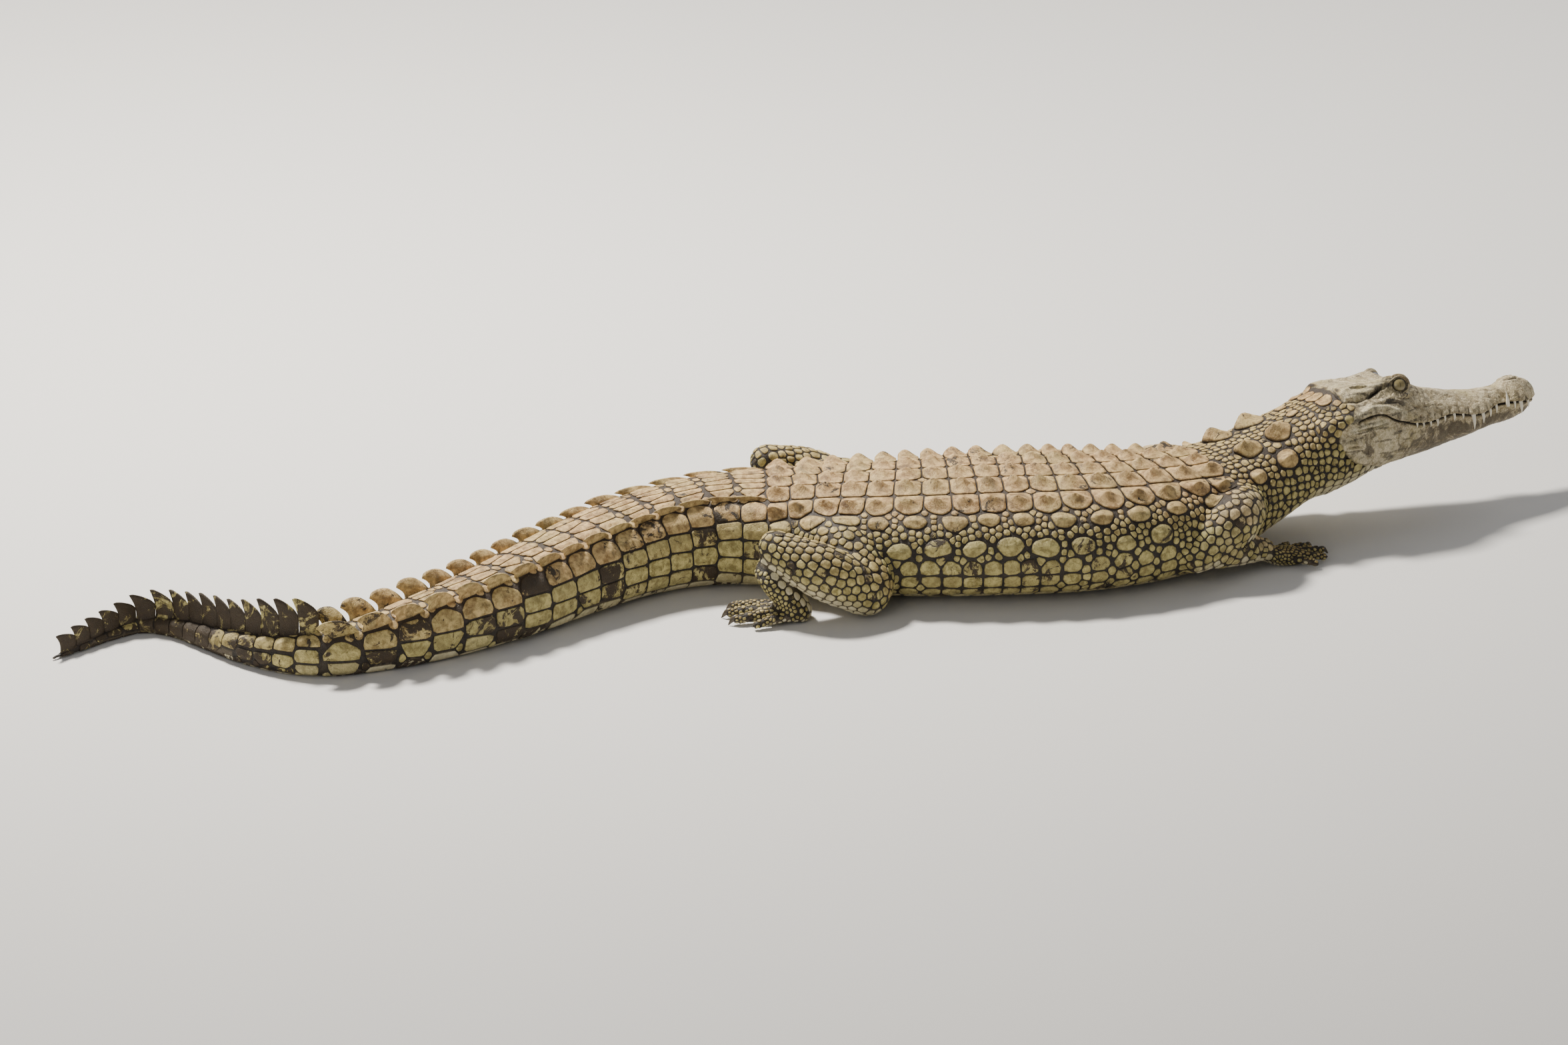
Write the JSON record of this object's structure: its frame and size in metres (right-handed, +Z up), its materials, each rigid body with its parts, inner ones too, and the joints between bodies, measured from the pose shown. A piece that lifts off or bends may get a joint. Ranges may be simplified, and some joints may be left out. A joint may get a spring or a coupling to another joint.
{
  "type": "nile crocodile",
  "caption": "Life-size still model of a Nile crocodile lying at rest, head a little raised, jaws closed and tail curved, for display.",
  "frame": {"origin": "middle of the whole model in plan, at floor level", "axes": "+X toward the head end, -Y the animal's right side, +Z up; the base of the tail and the hips lie along X"},
  "size_m": [2.2257, 0.8841, 0.2223],
  "materials": {
    "hide": "scaled hide, dusty tan back, olive-yellow sides with dark grooves",
    "head": "grey-beige skin drawn tight over the skull, with teeth",
    "lower_jaw": "wrinkled pale grey-beige skin, with teeth",
    "crest": "dark horny upright scutes over olive sides",
    "claws": "small beaded scales, with dark horny claws",
    "eyes": "glossy olive-beige eye, as set in a museum model"
  },
  "bodies": {
    "root": {"head": "head", "lower_jaw": "lower_jaw", "eye_left": "eyes", "eye_right": "eyes", "neck": "hide", "trunk": "hide", "tail_base": "hide", "tail_middle": "hide", "tail_tip": "crest", "thigh_left": "hide", "thigh_right": "hide", "shank_left": "hide", "shank_right": "hide", "hind_foot_left": "claws", "hind_foot_right": "claws", "upper_arm_left": "hide", "upper_arm_right": "hide", "forearm_left": "hide", "forearm_right": "hide", "front_foot_left": "claws", "front_foot_right": "claws"}
  },
  "joints": []
}
